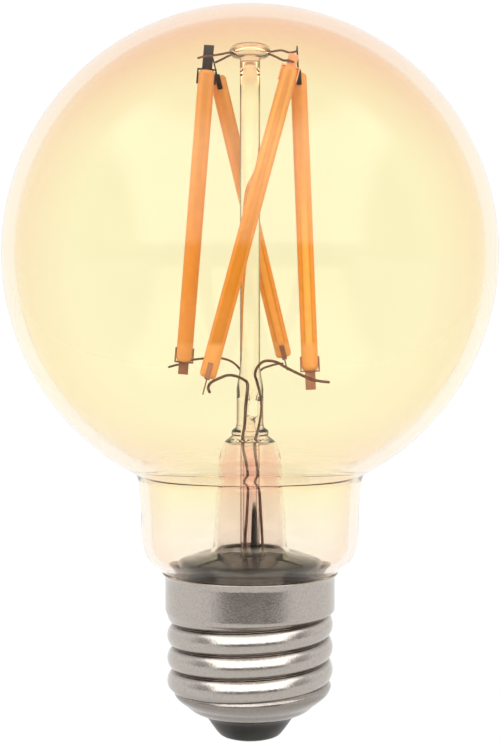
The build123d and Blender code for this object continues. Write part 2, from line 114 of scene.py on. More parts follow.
def arc(centre, radius, start, end, count):
    """Points of an arc in the (r, z) plane, angles in degrees."""
    return [
        (centre[0] + radius * cos(radians(start + (end - start) * i / count)),
         centre[1] + radius * sin(radians(start + (end - start) * i / count)))
        for i in range(count + 1)
    ]


def smooth_line(points, steps=8):
    """Catmull-Rom curve through points of any dimension."""
    out = []
    size = len(points[0])
    for i in range(len(points) - 1):
        p0, p1 = points[max(i - 1, 0)], points[i]
        p2, p3 = points[i + 1], points[min(i + 2, len(points) - 1)]
        for s in range(steps):
            t = s / steps
            out.append(tuple(
                0.5 * (2 * p1[k] + (p2[k] - p0[k]) * t
                       + (2 * p0[k] - 5 * p1[k] + 4 * p2[k] - p3[k]) * t * t
                       + (3 * p1[k] - p0[k] - 3 * p2[k] + p3[k]) * t ** 3)
                for k in range(size)))
    out.append(tuple(points[-1]))
    return out


def wire(name, points, radius):
    """Round wire along a smooth line, with rounded ends, as a mesh."""
    line = [Vector(p) for p in smooth_line(points)]
    tangent = (line[1] - line[0]).normalized()
    normal = tangent.orthogonal().normalized()
    rings = []
    for i, at in enumerate(line):
        ahead = line[min(i + 1, len(line) - 1)] - line[max(i - 1, 0)]
        new_tangent = ahead.normalized()
        normal = (normal - new_tangent * normal.dot(new_tangent)).normalized()
        side = new_tangent.cross(normal)
        grow = WIRE_END_SHARE if i in (0, len(line) - 1) else 1.0
        rings.append([at + (normal * cos(a) + side * sin(a)) * radius * grow
                      for a in turns(WIRE_SIDES)])
    start = line[0] - (line[1] - line[0]).normalized() * radius * WIRE_TIP_SHARE
    end = line[-1] + (line[-1] - line[-2]).normalized() * radius * WIRE_TIP_SHARE
    return new_object(name, grid_mesh(name, rings, start, end))


# ------------------------------------------------------------------ materials
BUMP_HEIGHT = 0.1 * MM
COAT_LIFT = 0.12


def new_material(name):
    mat = bpy.data.materials.new(name)
    mat.use_nodes = True
    nodes, links = mat.node_tree.nodes, mat.node_tree.links
    return mat, nodes, links, nodes["Principled BSDF"]


def node(nodes, kind, **values):
    made = nodes.new(kind)
    for key, value in values.items():
        setattr(made, key, value)
    return made


def noise(nodes, links, scale, detail=4.0):
    tex = nodes.new("ShaderNodeTexNoise")
    tex.inputs["Scale"].default_value = scale
    tex.inputs["Detail"].default_value = detail
    links.new(position(nodes), tex.inputs["Vector"])
    return tex.outputs["Fac"]


def position(nodes):
    """Object coordinates, the same for every piece because all sit at the origin."""
    for made in nodes:
        if made.bl_idname == "ShaderNodeTexCoord":
            return made.outputs["Object"]
    return nodes.new("ShaderNodeTexCoord").outputs["Object"]


def ramp(nodes, links, source, stops):
    made = nodes.new("ShaderNodeValToRGB")
    band = made.color_ramp
    while len(band.elements) < len(stops):
        band.elements.new(0.5)
    for element, (place, colour) in zip(band.elements, stops):
        element.position = place
        element.color = (*colour, 1.0)
    links.new(source, made.inputs["Fac"])
    return made.outputs["Color"]


def bump(nodes, links, source, strength, bsdf):
    made = nodes.new("ShaderNodeBump")
    made.inputs["Strength"].default_value = strength
    made.inputs["Distance"].default_value = BUMP_HEIGHT
    links.new(source, made.inputs["Height"])
    links.new(made.outputs["Normal"], bsdf.inputs["Normal"])


def coordinate(nodes, links, axis):
    """One object coordinate, in metres."""
    split = nodes.new("ShaderNodeSeparateXYZ")
    links.new(position(nodes), split.inputs[0])
    return split.outputs[axis]


def linear_fit(nodes, links, source, start, end):
    """0 where the source is at `start`, 1 at `end`, clamped."""
    fit = nodes.new("ShaderNodeMapRange")
    fit.inputs["From Min"].default_value = start
    fit.inputs["From Max"].default_value = end
    links.new(source, fit.inputs["Value"])
    return fit.outputs["Result"]


def height_fraction(nodes, links, low, high):
    """0 at z = low to 1 at z = high, in mm."""
    return linear_fit(nodes, links, coordinate(nodes, links, "Z"), low * MM, high * MM)


def near_axis(nodes, links, near, far):
    """1 within `near` mm of the lamp's axis, falling to 0 at `far` mm."""
    flat = nodes.new("ShaderNodeVectorMath")
    flat.operation = "MULTIPLY"
    flat.inputs[1].default_value = (1, 1, 0)
    links.new(position(nodes), flat.inputs[0])
    length = nodes.new("ShaderNodeVectorMath")
    length.operation = "LENGTH"
    links.new(flat.outputs["Vector"], length.inputs[0])
    return linear_fit(nodes, links, length.outputs["Value"], far * MM, near * MM)


def multiply(nodes, links, a, b):
    return maths(nodes, links, "MULTIPLY", a, b)


def grazing(nodes, links, start, end):
    """0 where a surface faces the viewer, 1 where it turns away."""
    weight = nodes.new("ShaderNodeLayerWeight")
    weight.inputs["Blend"].default_value = 0.5
    return linear_fit(nodes, links, weight.outputs["Facing"], start, end)


def fit_value(nodes, links, source, start, end, low=0.0, high=1.0):
    """Smooth step from `low` where the source is at `start` to `high` at `end`."""
    made = node(nodes, "ShaderNodeMapRange", interpolation_type="SMOOTHSTEP")
    for name, value in (("From Min", start), ("From Max", end), ("To Min", low), ("To Max", high)):
        made.inputs[name].default_value = value
    links.new(source, made.inputs["Value"])
    return made.outputs["Result"]


def maths(nodes, links, operation, *sources):
    made = node(nodes, "ShaderNodeMath", operation=operation)
    for i, source in enumerate(sources):
        if isinstance(source, float):
            made.inputs[i].default_value = source
        else:
            links.new(source, made.inputs[i])
    return made.outputs["Value"]


def mix_colour(nodes, links, factor, a, b, blend="MIX"):
    made = node(nodes, "ShaderNodeMix", data_type="RGBA", blend_type=blend)
    for socket, value in (("Factor", factor), ("A", a), ("B", b)):
        if isinstance(value, (tuple, float)):
            made.inputs[socket].default_value = (*value, 1.0) if isinstance(value, tuple) else value
        else:
            links.new(value, made.inputs[socket])
    return made.outputs["Result"]


def glass_material(name, stops, low, high, ior, layers):
    """Clear glass: tint by height, faint streaks, then each layer's tint where its mask says."""
    mat, nodes, links, bsdf = new_material(name)
    tint = ramp(nodes, links, height_fraction(nodes, links, low, high), stops)
    streak = ramp(nodes, links, noise(nodes, links, 60.0), [(0.3, (0.985,) * 3), (0.7, (1.0,) * 3)])
    tinted = mix_colour(nodes, links, 1.0, tint, streak, "MULTIPLY")
    for layer in layers:
        mask, colour = layer(nodes, links)
        tinted = mix_colour(nodes, links, mask, tinted, colour)
    links.new(tinted, bsdf.inputs["Base Color"])
    bsdf.inputs["Transmission Weight"].default_value = 1.0
    bsdf.inputs["Roughness"].default_value = 0.0
    bsdf.inputs["IOR"].default_value = ior
    return mat


GLASS_FOOT = 23.0
# Painted reflection: dark tint of the exhaust tube's streaks, which start at STREAK_FOOT mm.
STREAK_FOOT, STREAK_REFLECTION_TINT = 22.0, (0.06, 0.05, 0.045)
# Painted shade: brown for the stem's outlines, dark grey for the bell.
ROD_EDGE_SHADE, BELL_SHADE_TINT = (0.10, 0.035, 0.02), (0.30, 0.26, 0.24)
# Painted reflection: tint toward the globe's outline, by height.
RIM_REFLECTION_TINT = [(0.28, (0.965, 0.83, 0.70)), (0.40, (0.965, 0.85, 0.62)), (0.80, (0.955, 0.77, 0.57)),
            (1.0, (0.90, 0.60, 0.45))]


def rim_painted_reflection(nodes, links):
    """Painted reflection: deeper tint toward the globe's outline, peach at the neck and crown, honey
    between.
    """
    colour = ramp(nodes, links, height_fraction(nodes, links, GLASS_FOOT, 108.0), RIM_REFLECTION_TINT)
    return grazing(nodes, links, 0.32, 0.68), colour


def rod_edge_shade(nodes, links):
    """Painted shade: brown outlines on the slim parts of the stem."""
    edge = grazing(nodes, links, 0.36, 0.62)
    return multiply(nodes, links, edge, near_axis(nodes, links, 2.9, 3.6)), ROD_EDGE_SHADE


def bell_painted_shade(nodes, links):
    """Painted shade: dark tint on the bell outside the flare tube's foot, for the dark plug seen through
    the glass.
    """
    low = height_fraction(nodes, links, 30.1, 29.3)
    wide = near_axis(nodes, links, 6.4, 5.4)
    return multiply(nodes, links, low, wide), BELL_SHADE_TINT


def tube_reflection_streak(centre, width, tip, power):
    """Painted reflection: dark streak up the exhaust tube, `width` mm each side of `centre`, ending at
    height `tip`.
    """
    def layer(nodes, links):
        across = maths(nodes, links, "SUBTRACT", coordinate(nodes, links, "X"), centre * MM)
        across = maths(nodes, links, "DIVIDE", maths(nodes, links, "ABSOLUTE", across), width * MM)
        across = maths(nodes, links, "POWER", across, power)
        climb = height_fraction(nodes, links, STREAK_FOOT, tip)
        reach = maths(nodes, links, "ADD", across, climb)
        inside = fit_value(nodes, links, reach, 0.98, 0.88)
        return multiply(nodes, links, inside, near_axis(nodes, links, 1.62, 1.75)), STREAK_REFLECTION_TINT
    return layer


def plain_material(name, colour, rough, metallic=0.0, grain=400.0, spread=0.12, lift=0.05):
    """Surface with fine grain: colour, roughness and bump all vary with noise."""
    mat, nodes, links, bsdf = new_material(name)
    fac = noise(nodes, links, grain)
    dark = tuple(c * (1 - spread) for c in colour)
    light = tuple(min(1.0, c * (1 + spread)) for c in colour)
    links.new(ramp(nodes, links, fac, [(0.35, dark), (0.65, light)]), bsdf.inputs["Base Color"])
    wear = nodes.new("ShaderNodeMapRange")
    wear.inputs["To Min"].default_value = max(0.02, rough - 0.08)
    wear.inputs["To Max"].default_value = rough + 0.08
    links.new(noise(nodes, links, grain / 4), wear.inputs["Value"])
    links.new(wear.outputs["Result"], bsdf.inputs["Roughness"])
    bsdf.inputs["Metallic"].default_value = metallic
    bump(nodes, links, fac, lift, bsdf)
    return mat


# Painted shade: dark colour for the thread's roots and a darkening factor for the rolled base.
ROOT_SHADE, BASE_SHADE = (0.12, 0.10, 0.085), (0.62, 0.61, 0.61)


def paint_cap_shade(mat):
    """Painted shade: darken the thread's roots and the base of the rolled shell."""
    nodes, links = mat.node_tree.nodes, mat.node_tree.links
    socket = nodes["Principled BSDF"].inputs["Base Color"]
    fresh = socket.links[0].from_socket
    above = height_fraction(nodes, links, 8.0, 9.2)
    below = height_fraction(nodes, links, 20.6, 19.8)
    threaded = multiply(nodes, links, above, below)
    root = multiply(nodes, links, near_axis(nodes, links, 12.35, 12.85), threaded)
    root_shaded = mix_colour(nodes, links, root, fresh, ROOT_SHADE)
    base = height_fraction(nodes, links, 9.0, 7.6)
    base_shaded = mix_colour(nodes, links, 1.0, root_shaded, BASE_SHADE, "MULTIPLY")
    links.new(mix_colour(nodes, links, base, root_shaded, base_shaded), socket)


def coat_material(name, across_low, across_high):
    """Phosphor-loaded silicone: colours from where it faces the viewer to where it turns away."""
    mat, nodes, links, bsdf = new_material(name)
    facing = grazing(nodes, links, 0.0, 1.0)
    upper = fit_value(nodes, links, height_fraction(nodes, links, 60, 108), 0.3, 0.75)
    stripes = mix_colour(nodes, links, upper, ramp(nodes, links, facing, across_low),
                         ramp(nodes, links, facing, across_high))
    middle = multiply(nodes, links, height_fraction(nodes, links, 62.4, 63.2),
                      height_fraction(nodes, links, 106.5, 105.5))
    striped = mix_colour(nodes, links, middle, COAT_END, stripes)
    fac = noise(nodes, links, 900.0, 3.0)
    shade = ramp(nodes, links, fac, [(0.3, (0.92,) * 3), (0.7, (1.0,) * 3)])
    links.new(mix_colour(nodes, links, 1.0, striped, shade, "MULTIPLY"), bsdf.inputs["Base Color"])
    bsdf.inputs["Subsurface Weight"].default_value = 0.1
    bsdf.inputs["Subsurface Radius"].default_value = (0.0006, 0.0003, 0.0001)
    bsdf.inputs["Subsurface Scale"].default_value = 1.0
    bsdf.inputs["Roughness"].default_value = 0.45
    bsdf.inputs["Specular IOR Level"].default_value = 0.25
    # Painted light: a faint orange glow on the unlit coating.
    bsdf.inputs["Emission Color"].default_value = (1.0, 0.40, 0.08, 1.0)
    bsdf.inputs["Emission Strength"].default_value = 0.10
    bump(nodes, links, fac, COAT_LIFT, bsdf)
    return mat


COAT_END = (0.84, 0.36, 0.12)
SKIN, SKIN_LOW, AMBER_CORE = (0.86, 0.39, 0.18), (0.78, 0.28, 0.06), (0.60, 0.20, 0.008)
STREAKED_TOP = [(0.0, (0.70, 0.31, 0.13)), (0.05, (0.74, 0.33, 0.14)), (0.14, SKIN), (0.5, SKIN)]

# The refractive indices are lower than real glass has, to keep its reflections faint.
# Painted reflection: the ramp's peach stops from 0.91 up tint the crown.
AMBER = glass_material("amber_glass", [
    (0.0, (0.985, 0.93, 0.87)), (0.076, (0.988, 0.935, 0.85)), (0.14, (0.988, 0.945, 0.80)),
    (0.188, (0.988, 0.95, 0.735)), (0.198, (0.985, 0.885, 0.68)), (0.225, (0.985, 0.89, 0.68)),
    (0.27, (0.988, 0.947, 0.743)), (0.80, (0.988, 0.945, 0.73)),
    (0.91, (0.985, 0.90, 0.68)), (1.0, (0.975, 0.82, 0.60))], GLASS_FOOT, 115.6,
    ior=1.27, layers=(rim_painted_reflection,))
# Painted reflection: the ramp's peach stops from 0.932 up tint the rod's top and button.
CLEAR = glass_material("stem_glass", [
    (0.0, (0.95, 0.90, 0.89)), (0.12, (0.96, 0.905, 0.90)), (0.22, (0.985, 0.86, 0.88)),
    (0.29, (0.985, 0.89, 0.86)), (0.45, (0.99, 0.95, 0.88)), (0.92, (0.99, 0.95, 0.87)),
    (0.932, (0.975, 0.80, 0.70)), (1.0, (0.97, 0.77, 0.68))], GLASS_FOOT, 110.2,
    ior=1.42, layers=(rod_edge_shade, bell_painted_shade,
                      tube_reflection_streak(-0.85, 0.55, 34.9, 1.2), tube_reflection_streak(0.75, 0.72, 38.4, 4.0)))
COAT_BROAD = coat_material(
    "silicone_broad", [(0.0, AMBER_CORE), (0.2, AMBER_CORE), (0.27, SKIN_LOW), (0.8, SKIN_LOW)],
    [(0.0, SKIN), (0.06, (0.68, 0.29, 0.12)), (0.16, (0.90, 0.47, 0.19)), (0.5, SKIN)])
COAT_LINED = coat_material(
    "silicone_lined", [(0.0, (0.92, 0.42, 0.11)), (0.05, (0.92, 0.40, 0.10)),
                       (0.13, (0.64, 0.22, 0.02)), (0.24, (0.84, 0.30, 0.05)), (0.8, SKIN_LOW)],
    STREAKED_TOP)
COAT_PLAIN = coat_material(
    "silicone_plain", [(0.0, (0.76, 0.27, 0.055)), (0.2, (0.78, 0.29, 0.065)), (0.8, SKIN_LOW)],
    STREAKED_TOP)
COATS = {1: COAT_PLAIN, 2: COAT_LINED, 3: COAT_BROAD, 4: COAT_LINED}
WIRE = plain_material("oxidised_wire", (0.17, 0.062, 0.042), 0.5, 0.3, 1500.0, 0.3)
TAB = plain_material("clip_burnt", (0.022, 0.007, 0.004), 0.6, 0.0, 900.0, 0.25)
TAB_BROWN = plain_material("clip_brown", (0.36, 0.145, 0.105), 0.5, 0.6, 900.0, 0.15)
TAB_BRIGHT = plain_material("clip_bright", (0.90, 0.45, 0.29), 0.5, 0.3, 900.0, 0.1)
CAP = plain_material("cap_metal", (0.46, 0.42, 0.38), 0.19, 1.0, 3200.0, 0.10, 0.25)
# Painted shade in the thread's roots and on the cap's base.
paint_cap_shade(CAP)
VITRITE = plain_material("black_vitrite", (0.017, 0.0145, 0.011), 0.3, 0.0, 300.0, 0.4, 0.1)
PLUG = plain_material("plug_plastic", (0.028, 0.022, 0.019), 0.5, 0.0, 500.0, 0.2, 0.1)
CONTACT = plain_material("contact_tin", (0.52, 0.50, 0.47), 0.3, 1.0, 600.0, 0.1, 0.15)
SOLDER = plain_material("solder_tin", (0.55, 0.55, 0.54), 0.3, 1.0, 500.0, 0.15, 0.4)
CEMENT = plain_material("cap_cement_grey", (0.55, 0.51, 0.44), 0.85, 0.0, 900.0, 0.15, 0.5)
SLEEVE = plain_material("sleeve_white", (0.72, 0.71, 0.68), 0.5, 0.0, 400.0, 0.04)
BOARD = plain_material("board_green", (0.02, 0.11, 0.045), 0.35, 0.0, 250.0, 0.25)
MODULE = plain_material("board_blue", (0.015, 0.03, 0.11), 0.35, 0.0, 250.0, 0.25)
CAN = plain_material("can_sleeve", (0.03, 0.03, 0.05), 0.3, 0.0, 300.0, 0.2)
EPOXY = plain_material("epoxy_black", (0.014, 0.014, 0.015), 0.45, 0.0, 700.0, 0.2, 0.2)
FERRITE = plain_material("ferrite_grey", (0.045, 0.042, 0.042), 0.6, 0.0, 800.0, 0.2, 0.3)
SHIELD = plain_material("shield_tin", (0.55, 0.55, 0.56), 0.28, 1.0, 500.0, 0.08)
RESISTOR = plain_material("resistor_lacquer", (0.20, 0.30, 0.36), 0.35, 0.0, 300.0, 0.1)
HOOKUP = plain_material("hookup_insulation", (0.45, 0.03, 0.02), 0.4, 0.0, 400.0, 0.08)
STRIP = plain_material("strip_ceramic", (0.62, 0.28, 0.07), 0.5, 0.0, 900.0, 0.15)
CHIP = plain_material("chip_face", (0.80, 0.50, 0.12), 0.25, 0.0, 900.0, 0.1)
FLOOR = plain_material("floor_paper", (0.718, 0.718, 0.716), 0.9, 0.0, 300.0, 0.006, 0.02)


def flag_material():
    """Dim card, paler toward its left and right ends."""
    mat, nodes, links, bsdf = new_material("flag_card")
    across = maths(nodes, links, "ABSOLUTE", coordinate(nodes, links, "X"))
    fade = fit_value(nodes, links, across, 0.34, 0.70)
    shaded = mix_colour(nodes, links, fade, (0.27, 0.25, 0.25), (1.0, 1.0, 1.0))
    links.new(shaded, bsdf.inputs["Base Color"])
    bsdf.inputs["Roughness"].default_value = 0.9
    return mat


FLAG = flag_material()
# Matt blacks take less of the soft box's reflection.
for dull, level in ((VITRITE, 0.2), (PLUG, 0.2), (TAB, 0.1)):
    dull.node_tree.nodes["Principled BSDF"].inputs["Specular IOR Level"].default_value = level


def dress(obj, material):
    obj.data.materials.clear()
    obj.data.materials.append(material)


def piece(obj, material, slot_name, *nodes):
    """Finish a piece: material, body and the CAD nodes it stands for; slot_name is not used."""
    dress(obj, material)
    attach(obj, "root")
    if nodes:
        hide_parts(*nodes)
    return obj


# ------------------------------------------------------------------ glass
def globe_outline(globe_in, neck_in, seal_in):
    """Half outline of the globe's outer or inner skin, crown to seal."""
    radius, blend = GLOBE_R - globe_in, NECK_BLEND + globe_in
    neck = NECK_R - neck_in
    drop = sqrt((radius + blend) ** 2 - (neck + blend) ** 2)
    angle = atan2(-drop, neck + blend) * 180 / pi
    sphere = arc((0, GLOBE_Z), radius, 90, angle, 110)
    fillet = arc((neck + blend, GLOBE_Z - drop), blend, angle + 180, 180, 10)
    low = smooth_line([
        (neck, GLOBE_Z - drop),
        (WAIST[0] - neck_in * 0.97 + 0.12, NECK_MID_Z),
        (WAIST[0] - neck_in, WAIST[1]),
        *[(r - neck_in * 0.9, z + neck_in / 4) for r, z in SHOULDER[:-1]],
        (SHOULDER[-1][0] - seal_in, SHOULDER[-1][1] + seal_in / 4),
        (SEAL_R - seal_in, SEAL_TOP),
        (SEAL_R - seal_in, SEAL_FOOT),
    ])
    return [(0, GLOBE_Z + radius)] + sphere[1:] + fillet[1:] + low[1:]


def build_globe():
    outer = globe_outline(0, 0, 0)
    inner = globe_outline(GLOBE_WALL, NECK_WALL, SEAL_WALL)
    obj = lathe("globe_glass", outer + inner[::-1], 192)
    return piece(obj, AMBER, "amber_glass", "glass_globe")


build_globe()


# ------------------------------------------------------------------ stem
FLARE_OUT = [(4.15, 47.1), (4.9, 44.6), (5.1, 42.6), (5.35, 39.0), (5.6, 35.4), (5.8, 31.4),
             (6.05, 30.2), (6.9, 29.7), (9.0, 29.1), (10.9, 28.45), (11.5, 27.9), (11.66, 27.2),
             (11.68, 25.6), (11.68, 24.4), (11.64, 23.2)]
FLARE_IN = [(1.56, 47.3), (2.2, 47.42), (2.95, 47.25), (3.45, 46.95), (3.75, 46.6), (4.1, 45.6),
            (4.36, 44.5), (4.55, 42.6), (4.8, 39.0), (5.05, 35.4), (5.25, 31.4), (5.5, 30.0),
            (6.5, 29.25), (9.0, 28.5), (10.5, 27.95), (11.0, 27.2), (11.08, 25.6), (11.05, 24.4),
            (10.98, 23.2)]
PINCH = [(3.3, 3.3, 47.75), (2.9, 2.9, 48.1), (3.0, 3.0, 48.5), (2.9, 2.9, 48.95), (2.3, 2.4, 49.4),
         (2.15, 2.5, 50.2), (2.15, 2.5, 52.9), (2.15, 2.5, 55.6), (1.95, 2.25, 57.0),
         (1.7, 1.8, 58.2), (1.6, 1.6, 58.9)]
BORE = [(0, 15.0), (0.6, 15.2), (1.0, 16.0), (1.1, 17.0), (1.1, 46.0), (1.05, 48.6), (0.7, 49.6),
        (0.6, 51.4), (0, 51.5)]
TIP_CENTRE_Z, TIP_STRETCH, TIP_Z = 15.4, 1.15, 13.6


def build_stem():
    """One fused glass body: bell, flare tube, pinch, rod and button, with the exhaust tube inside."""
    segments = 64
    outer = [(11.64, 11.64, 23.2)] + [(r, r, z) for r, z in smooth_line(FLARE_OUT[::-1], 6)[1:]]
    outer += PINCH
    outer += [(ROD_R, ROD_R, z) for z in (70, 85, 100, ROD_TOP - 0.15)]
    outer += [(1.75, 1.75, ROD_TOP)]
    outer += [(r, r, z) for r, z in arc((BUTTON_R - 1.0, ROD_TOP + 1.1), 1.0, -88, 88, 12)]
    outer += [(1.2, 1.2, ROD_TOP + BUTTON_H)]
    rings = [ellipse(*p, segments) for p in outer]
    inner = smooth_line(FLARE_IN, 5)
    tube = [(EXHAUST_R, z) for z in (46.0, 36, 26, 18)]
    tip = arc((0, TIP_CENTRE_Z), EXHAUST_R, 0, -90, 10)[:-1]
    tube += [(r, TIP_CENTRE_Z - (TIP_CENTRE_Z - z) * TIP_STRETCH) for r, z in tip]
    under = [ellipse(r, r, z, segments) for r, z in tube[::-1] + inner]
    mesh = grid_mesh("stem_glass_body", under + rings, (0, 0, TIP_Z), (0, 0, ROD_TOP + BUTTON_H))
    stem = new_object("stem_glass_body", mesh)
    cutters = (lathe("stem_bore", BORE, 40), window_cutter())
    for cutter in cutters:
        cut = stem.modifiers.new("cut", "BOOLEAN")
        cut.operation = "DIFFERENCE"
        cut.solver = "EXACT"
        cut.object = cutter
    depsgraph = bpy.context.evaluated_depsgraph_get()
    stem.data = bpy.data.meshes.new_from_object(stem.evaluated_get(depsgraph))
    stem.modifiers.clear()
    for cutter in cutters:
        bpy.data.objects.remove(cutter)
    return piece(stem, CLEAR, "clear_glass", "stem_flare", "exhaust_tube", "centre_rod", "rod_button")


def window_cutter():
    """Rounded slot through the pinch."""
    half_w, half_h, round_r = 0.65, 1.45, 0.4
    centre = (0.5, 52.45)
    outline = []
    for sx, sz, start in ((1, 1, 0), (-1, 1, 90), (-1, -1, 180), (1, -1, 270)):
        for i in range(5):
            a = radians(start + 22.5 * i)
            outline.append((centre[0] + sx * (half_w - round_r) + round_r * cos(a),
                            centre[1] + sz * (half_h - round_r) + round_r * sin(a)))
    front, back = -4, 4
    rings = [[(x, y, z) for x, z in outline] for y in (front, back)]
    ends = [(centre[0], y, centre[1]) for y in (front, back)]
    mesh = grid_mesh("window_cutter", rings, *ends)
    return new_object("window_cutter", mesh)


build_stem()


# ------------------------------------------------------------------ filaments
FILAMENTS = {
    1: dict(foot=(-10.66, 3.0, 59.8), head=(-6.78, -1.5, 105.8)),
    2: dict(foot=(5.62, 8.0, 60.4), head=(-5.25, 1.5, 105.4)),
    3: dict(foot=(-6.52, -9.0, 57.7), head=(6.36, -2.5, 106.0)),
    4: dict(foot=(9.38, -4.0, 58.6), head=(7.70, 1.0, 105.7)),
}


COAT_END_STATIONS = [(0.72, 0.0), (1.0, 0.08), (1.18, 0.25), (1.27, 0.5), (COAT_R, 0.8)]
COAT_SIDES = 32


def build_filament(number):
    """Silicone coating with softly domed ends round the carrier strip."""
    foot, head = (Vector(FILAMENTS[number][end]) for end in ("foot", "head"))
    axis = (head - foot).normalized()
    side = axis.cross(Vector((0, 1, 0))).normalized()
    depth = axis.cross(side)
    length = (head - foot).length
    rows = COAT_END_STATIONS + [(COAT_R, length * i / 12) for i in range(1, 12)]
    rows += [(r, length - s) for r, s in COAT_END_STATIONS[::-1]]
    rings = [
        [foot + axis * s + (side * cos(a) + depth * sin(a)) * r for a in turns(COAT_SIDES)]
        for r, s in rows
    ]
    mesh = grid_mesh(f"filament_{number}_silicone", rings, foot, head)
    obj = new_object(f"filament_{number}_silicone", mesh)
    piece(obj, COATS[number], "filament_coat", f"filament_{number}_coating")


for number in FILAMENTS:
    build_filament(number)


# ------------------------------------------------------------------ cap
def thread_depth(z, angle):
    """Height of the rolled thread above its root at this place, 0 to 1."""
    turn = angle / (2 * pi)
    phase = (z - THREAD_FOOT) / PITCH - turn
    nearest = phase - round(phase)
    return max(0.0, 1 - (2 * abs(nearest)) ** 2) ** 0.75


CAP_FOOT, BLEND_FROM, BLEND_OVER, THREAD_FROM = 4.1, 5.6, 2.4, 8.8
BLEND_SHARE, SKIRT_BLEND, RING_STEP = 0.75, 1.1, 0.1
CAP_BASE = smooth_line([(8.3, 4.1), (9.3, 4.53), (9.85, 4.93), (10.3, 5.36), (10.8, 5.9),
                        (11.2, 6.43), (11.65, 7.05), (12.0, 7.6), (12.35, 8.2), (12.6, 8.9)], 4)
CAP_RIM_AND_INSIDE = [
    (13.55, 25.65), (13.66, 25.9), (13.85, 26.15), (14.02, 26.32), (14.0, 26.42), (13.85, 26.44),
    (13.62, 26.2), (13.42, 25.9), (13.2, 25.4), (13.2, 21.4), (11.9, 19.8), (11.9, 8.6),
    (11.1, 6.8), (9.9, 5.4), (9.0, 4.72), (8.3, 4.42)]


def base_radius(z):
    """Radius of the cap's rolled base at height z, read off its outline."""
    for (r0, z0), (r1, z1) in zip(CAP_BASE, CAP_BASE[1:]):
        if z0 <= z <= z1:
            return r0 + (r1 - r0) * (z - z0) / (z1 - z0)


def shell_radius(z, angle):
    """Outer radius of the shell: base, then thread, then skirt."""
    thread = ROOT_R + (CREST_R - ROOT_R) * thread_depth(z, angle)
    if z >= THREAD_FROM:
        radius = thread
    else:
        base = radius = base_radius(z)
        if z > BLEND_FROM:
            blend = min(1.0, (z - BLEND_FROM) / BLEND_OVER)
            radius = base + (thread - min(base, ROOT_R)) * blend * BLEND_SHARE
            radius = min(radius, max(thread, base))
    rise = min(1.0, max(0.0, (z - (SKIRT_LOW - SKIRT_BLEND)) / SKIRT_BLEND))
    rise = rise * rise * (3 - 2 * rise)
    return radius + (SKIRT_R - radius) * rise


def build_cap():
    angles = turns(256)
    count = int((SKIRT_HIGH - CAP_FOOT) / RING_STEP) + 1
    rings = []
    for z in (CAP_FOOT + RING_STEP * i for i in range(count)):
        radii = [shell_radius(z, a) for a in angles]
        rings.append([(r * cos(a), r * sin(a), z) for r, a in zip(radii, angles)])
    for r, z in CAP_RIM_AND_INSIDE:
        rings.append([(r * cos(a), r * sin(a), z) for a in angles])
    obj = new_object("cap_shell_rolled", grid_mesh("cap_shell_rolled", rings, loop=True))
    return piece(obj, CAP, "cap_metal", "cap_shell")


build_cap()


def build_insulator():
    outline = [(0.0, 5.3), (8.9, 5.3), (8.95, 5.1), (8.27, 5.0)]
    outline += smooth_line([(8.27, 4.06), (7.6, 3.85), (7.0, 3.33), (6.5, 2.65), (6.0, 1.9),
                            (5.6, 1.35), (5.2, 0.85), (4.85, 0.48), (4.45, 0.27), (4.0, 0.22)], 4)
    outline += [(3.95, 0.32), (0.0, 0.36)]
    obj = lathe("cap_insulator_glass", outline[::-1], 96)
    return piece(obj, VITRITE, "black_glass", "cap_insulator")


def build_contact():
    outline = [(0.0, 0.34), (3.7, 0.34), (3.88, 0.26), (3.9, 0.15), (3.75, 0.03), (3.4, 0.0),
               (1.4, 0.0), (1.1, 0.05), (0.0, 0.06)]
    obj = lathe("centre_contact_disc", outline, 96)
    return piece(obj, CONTACT, "contact_metal", "centre_contact")


build_insulator()
build_contact()

